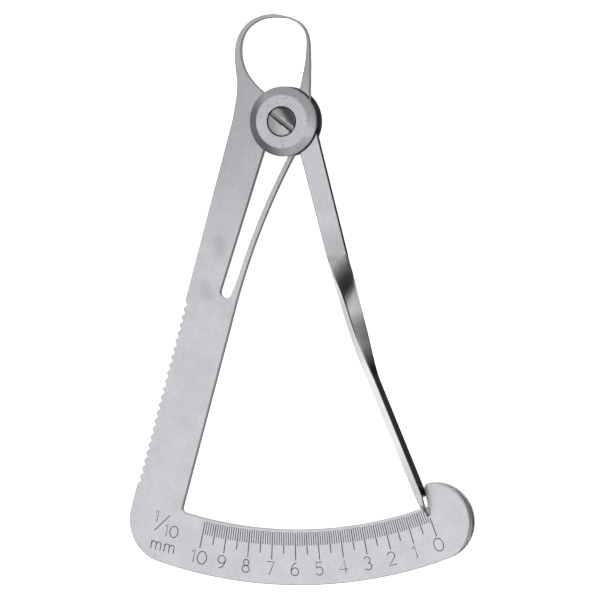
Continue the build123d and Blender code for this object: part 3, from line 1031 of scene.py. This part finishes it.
def write(text, height, centre, angle, name, gap=0.2):
    """A row of signs centred on a place, turned by an angle, as one piece."""
    widths = [SIGNS[c][0] * height for c in text]
    total = sum(widths) + gap * height * (len(text) - 1)
    x = -total / 2
    signs = []
    level = SCALE_FACE + sizes().line_proud - FILL_DEPTH / 2
    place = Matrix.Translation((centre[0], centre[1], level)) @ Matrix.Rotation(angle, 4, "Z")
    for c, width in zip(text, widths):
        sign = draw_sign(c, height, name)
        sign.data.transform(place @ Matrix.Translation((x + width / 2, 0, 0)))
        signs.append(sign)
        x += width + gap * height
    pick(signs[0])
    for sign in signs:
        sign.select_set(True)
    if len(signs) > 1:
        bpy.ops.object.join()
    signs[0].name = name
    return signs[0]


# How far the numerals stand beside their lines: one digit, and the two of the 10
DIGIT_ASIDE, TEN_ASIDE = math.radians(-0.14), math.radians(0.12)


class CALIPER_OT_numerals(Operator):
    """Writes the numerals 0 to 10 under the lines of the millimetres"""

    bl_idname = "caliper.numerals"
    bl_label = "Numerals"

    def execute(self, context):
        fill = engraving_fill(colours().engraving)
        for reading in range(LAST_READING + 1):
            angle = reading_angle(reading)
            aside = TEN_ASIDE if reading == LAST_READING else DIGIT_ASIDE
            spot = radial(angle + aside, sizes().numeral_radius).to_translation()
            piece = write(str(reading), sizes().numeral_height, spot, angle,
                          f"numeral_{reading}")
            finish_piece(piece, "scale_body", "sheet_steel", fill)
        return {"FINISHED"}


# The unit's signs: their text, height and place in millimetres, and the gap between them
UNIT_TILT = math.radians(-12)
UNIT_MARKS = (("1", 2.0, (-23.5, -68.8), 0.2, "unit_one"),
              ("/", 3.2, (-22.6, -70.0), 0.2, "unit_slash"),
              ("10", 2.0, (-20.9, -71.4), 0.2, "unit_ten"),
              ("mm", 2.2, (-22.5, -74.15), 0.22, "unit_millimetre"))


class CALIPER_OT_unit_marks(Operator):
    """Writes the unit of the scale, tenths of a millimetre, in the plate's corner"""

    bl_idname = "caliper.unit_marks"
    bl_label = "Unit marks"

    def execute(self, context):
        fill = engraving_fill(colours().engraving)
        for text, height, (x, y), gap, name in UNIT_MARKS:
            piece = write(text, height * MM, (x * MM, y * MM), UNIT_TILT, name, gap)
            finish_piece(piece, "scale_body", "sheet_steel", fill)
        return {"FINISHED"}


# Stage

# Where the camera looks, and from how far to the right, to the top and away
CAMERA_TARGET = Vector((0, -45 * MM, 2.9 * MM))
CAMERA_RIGHT = math.radians(16.6)
CAMERA_UP = math.radians(3.2)
CAMERA_DISTANCE = 700 * MM

# How the picture is framed: its side, focal length and target's place in pixels
PICTURE_SIDE = 600
FOCAL_LENGTH = 4049
TARGET_PIXEL = (285.9, 382.35)
SENSOR_WIDTH = 36

# Strength of the sky by height, from the horizon to overhead
SKY_STOPS = ((0.0, 0.38), (0.3, 0.62), (0.7, 0.93), (1.0, 1.0))
# Side of the floor in metres, and its own light where it is seen, which makes it white
FLOOR_SIDE, FLOOR_GLOW = 6, 0.72

# Each lamp's name, place, size in metres and radiance, and what both of them look at
LAMPS = (("key_lamp", (-0.05, -0.25, 0.5), 0.5, 0.38),
         ("side_lamp", (0.9, -0.45, 0.6), 0.5, 1.6))
LAMP_TARGET = Vector((0, -35 * MM, 0))


def make_camera():
    """The camera over the object, at the photograph's angle."""
    towards = Vector((math.sin(CAMERA_RIGHT) * math.cos(CAMERA_UP), math.sin(CAMERA_UP),
                      math.cos(CAMERA_RIGHT) * math.cos(CAMERA_UP)))
    right = (-towards).cross(Vector((0, 1, 0))).normalized()
    up = right.cross(-towards)
    bpy.ops.object.camera_add()
    camera = bpy.context.object
    turn = Matrix((right, up, towards)).transposed().to_4x4()
    camera.matrix_world = Matrix.Translation(CAMERA_TARGET + towards * CAMERA_DISTANCE) @ turn
    camera.data.sensor_width = SENSOR_WIDTH
    camera.data.lens = FOCAL_LENGTH / PICTURE_SIDE * SENSOR_WIDTH
    middle = PICTURE_SIDE / 2
    camera.data.shift_x = (middle - TARGET_PIXEL[0]) / PICTURE_SIDE
    camera.data.shift_y = (TARGET_PIXEL[1] - middle) / PICTURE_SIDE
    camera.data.clip_start = 0.01
    camera.data.clip_end = 20
    bpy.context.scene.camera = camera


def seen_or_reflected(tree):
    """A value of 1 for rays from the camera, off gloss or through glass."""
    rays = add(tree, "ShaderNodeLightPath")
    seen = math_node(tree, "MAXIMUM", rays.outputs["Is Camera Ray"],
                     rays.outputs["Is Glossy Ray"])
    return math_node(tree, "MAXIMUM", seen, rays.outputs["Is Transmission Ray"])


def floor_material():
    """Pale floor that keeps the shadow, and has light of its own where it is seen."""
    material = new_material("pale floor")
    tree = material.node_tree
    link = tree.links.new
    plain = add(tree, "ShaderNodeBsdfDiffuse", Color=(*colours().backdrop, 1))
    white = add(tree, "ShaderNodeEmission", Color=(1, 1, 1, 1), Strength=FLOOR_GLOW)
    both = add(tree, "ShaderNodeAddShader")
    link(plain.outputs[0], both.inputs[0])
    link(white.outputs[0], both.inputs[1])
    mixed = add(tree, "ShaderNodeMixShader")
    link(seen_or_reflected(tree), mixed.inputs["Fac"])
    link(plain.outputs[0], mixed.inputs[1])
    link(both.outputs[0], mixed.inputs[2])
    output = add(tree, "ShaderNodeOutputMaterial")
    link(mixed.outputs[0], output.inputs["Surface"])
    return material


def make_world():
    """A studio sky: bright overhead and dim at the horizon."""
    world = bpy.data.worlds.get("studio") or bpy.data.worlds.new("studio")
    bpy.context.scene.world = world
    world.use_nodes = True
    tree = world.node_tree
    tree.nodes.clear()
    link = tree.links.new
    place = add(tree, "ShaderNodeTexCoord")
    split = add(tree, "ShaderNodeSeparateXYZ")
    link(place.outputs["Generated"], split.inputs[0])
    height = ramp(tree, SKY_STOPS)
    link(split.outputs["Z"], height.inputs[0])
    sky = add(tree, "ShaderNodeBackground")
    link(height.outputs[0], sky.inputs["Strength"])
    output = add(tree, "ShaderNodeOutputWorld")
    link(sky.outputs[0], output.inputs["Surface"])


def make_lamp(name, place, size, radiance):
    """A soft square lamp that looks at the object."""
    bpy.ops.object.light_add(type="AREA", location=place)
    lamp = bpy.context.object
    lamp.name = name
    lamp.data.size = size
    lamp.data.energy = radiance * math.pi * size * size
    aim = LAMP_TARGET - Vector(place)
    lamp.rotation_euler = aim.to_track_quat("-Z", "Y").to_euler()


class CALIPER_OT_stage(Operator):
    """Lays the floor and sets the lamps, the sky and the camera"""

    bl_idname = "caliper.stage"
    bl_label = "Stage"

    def execute(self, context):
        deselect_all()
        bpy.ops.mesh.primitive_plane_add(size=FLOOR_SIDE, location=(0, 0, 0))
        floor = context.object
        floor.name = "floor"
        floor.data.materials.append(floor_material())
        make_world()
        for lamp in LAMPS:
            make_lamp(*lamp)
        make_camera()
        context.scene.view_settings.view_transform = "Standard"
        return {"FINISHED"}


class CALIPER_PT_panel(Panel):
    """Lists the pieces of the caliper and the stage"""

    bl_idname = "CALIPER_PT_panel"
    bl_label = "Dental measuring caliper"
    bl_space_type = "VIEW_3D"
    bl_region_type = "UI"
    bl_category = "Caliper"

    def draw(self, context):
        layout = self.layout
        for operator in OPERATORS:
            layout.operator(operator.bl_idname)
        for group in (context.scene.caliper_sizes, context.scene.caliper_colours):
            box = layout.box()
            for name in group.bl_rna.properties.keys():
                if name not in ("rna_type", "name"):
                    box.prop(group, name)


OPERATORS = (CALIPER_OT_scale_arm, CALIPER_OT_spring_leaf, CALIPER_OT_pointer_arm,
             CALIPER_OT_pivot, CALIPER_OT_graduation, CALIPER_OT_numerals,
             CALIPER_OT_unit_marks, CALIPER_OT_stage)
CLASSES = (CaliperSizes, CaliperColours, *OPERATORS, CALIPER_PT_panel)


def register():
    for cls in CLASSES:
        bpy.utils.register_class(cls)
    bpy.types.Scene.caliper_sizes = PointerProperty(type=CaliperSizes)
    bpy.types.Scene.caliper_colours = PointerProperty(type=CaliperColours)


def unregister():
    del bpy.types.Scene.caliper_colours
    del bpy.types.Scene.caliper_sizes
    for cls in reversed(CLASSES):
        bpy.utils.unregister_class(cls)


def main():
    """Registers the classes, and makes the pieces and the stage."""
    register()
    bpy.ops.caliper.scale_arm()
    bpy.ops.caliper.spring_leaf()
    bpy.ops.caliper.pointer_arm()
    bpy.ops.caliper.pivot()
    bpy.ops.caliper.graduation()
    bpy.ops.caliper.numerals()
    bpy.ops.caliper.unit_marks()
    bpy.ops.caliper.stage()


if __name__ == "__main__":
    main()
